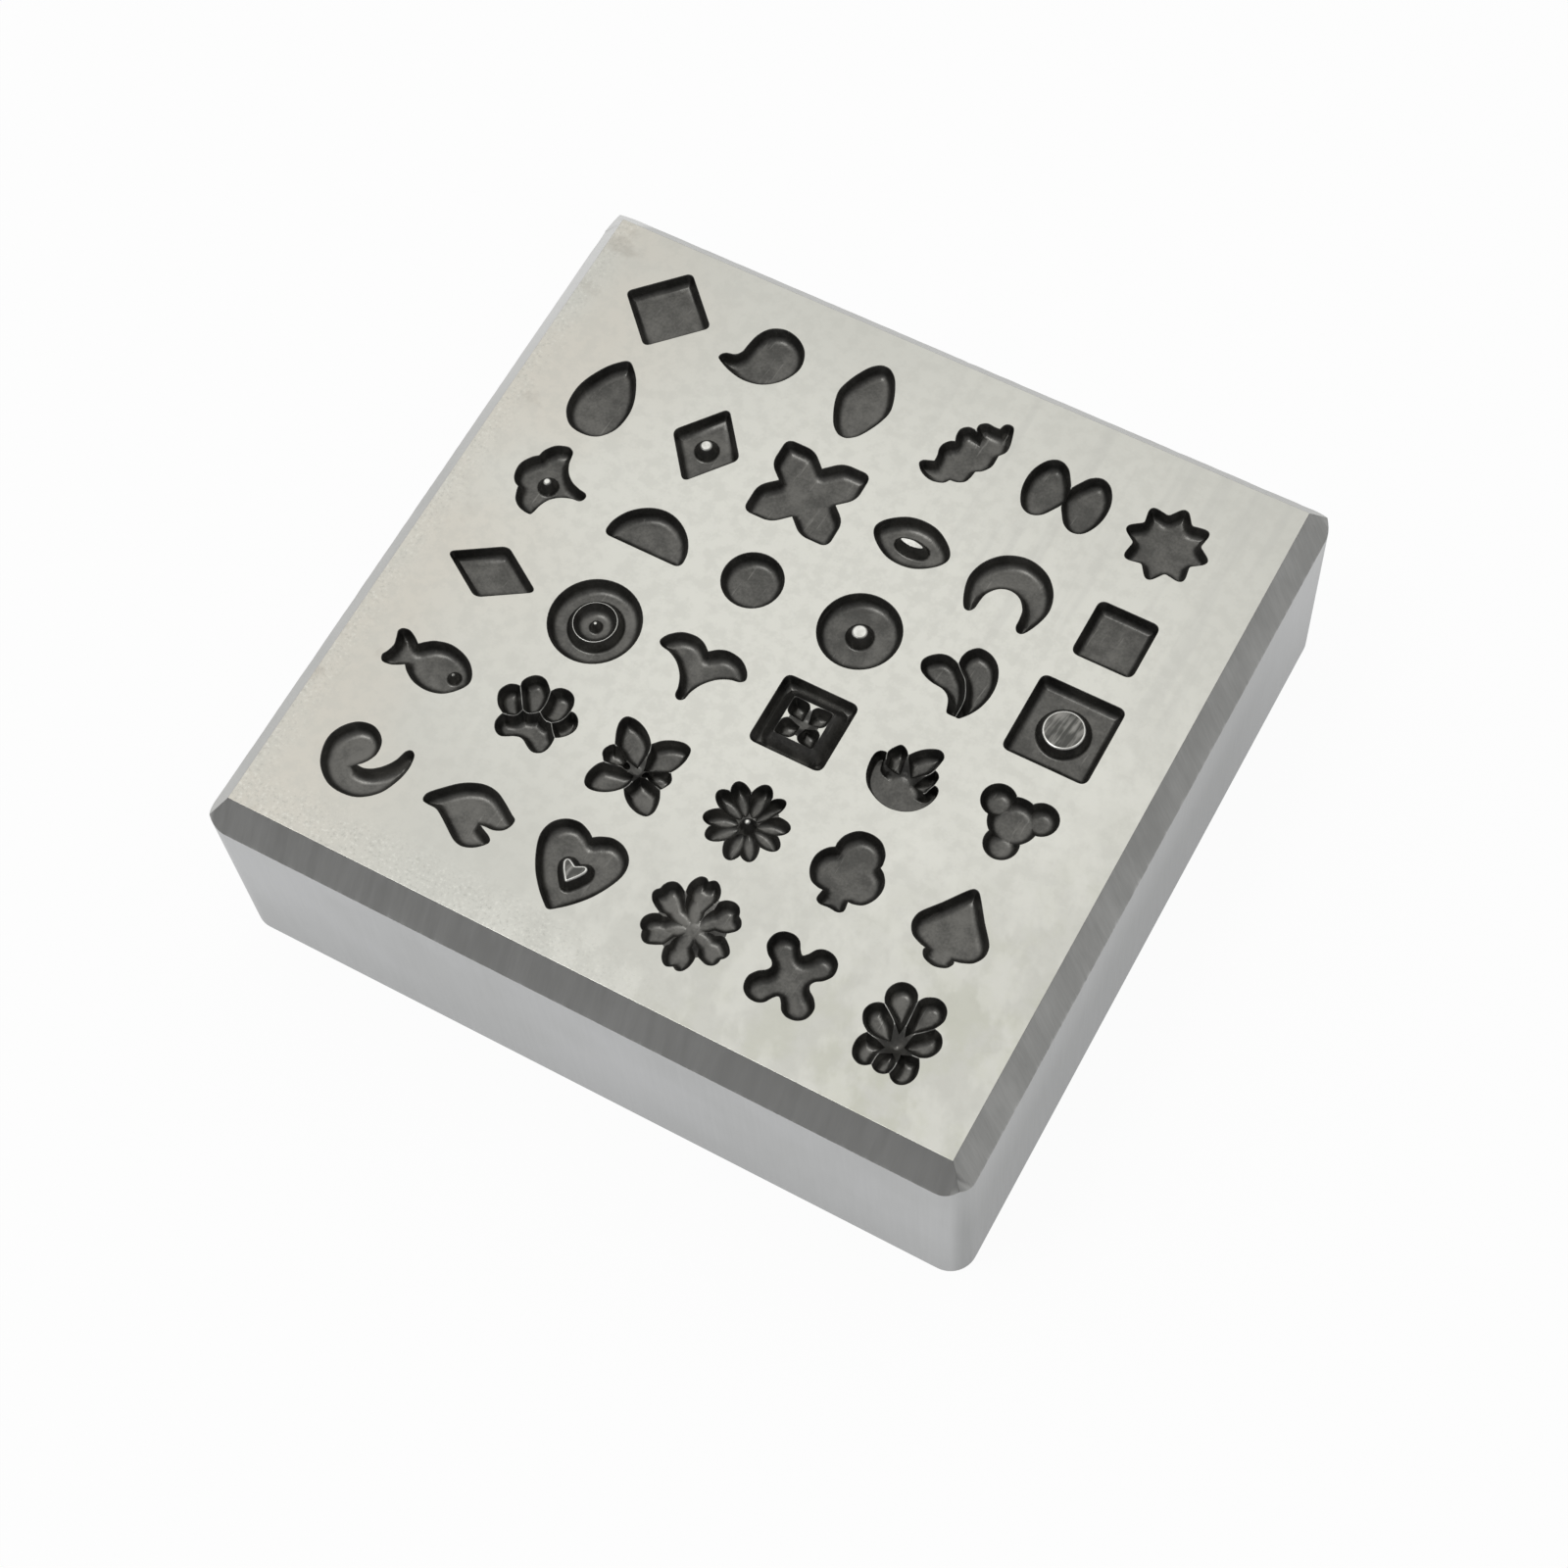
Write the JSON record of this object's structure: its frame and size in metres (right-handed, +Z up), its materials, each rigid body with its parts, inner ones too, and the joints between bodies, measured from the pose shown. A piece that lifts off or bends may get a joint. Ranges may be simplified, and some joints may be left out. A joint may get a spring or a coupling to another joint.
{
  "type": "shot plate",
  "caption": "Ground steel block with chamfered top edges and a grid of shallow sunk figures: flowers, leaves, card pips, discs, squares and animals.",
  "frame": {"origin": "middle of the face the block rests on", "axes": "+Z up out of the face with the figures, +X along the front edge to the right, +Y to the back"},
  "size_m": [0.0636, 0.0618, 0.0195],
  "materials": {
    "steel": "finely ground, dull satin, darker unpolished metal in the impressions"
  },
  "bodies": {
    "root": {"shot_plate": "steel"}
  },
  "joints": []
}
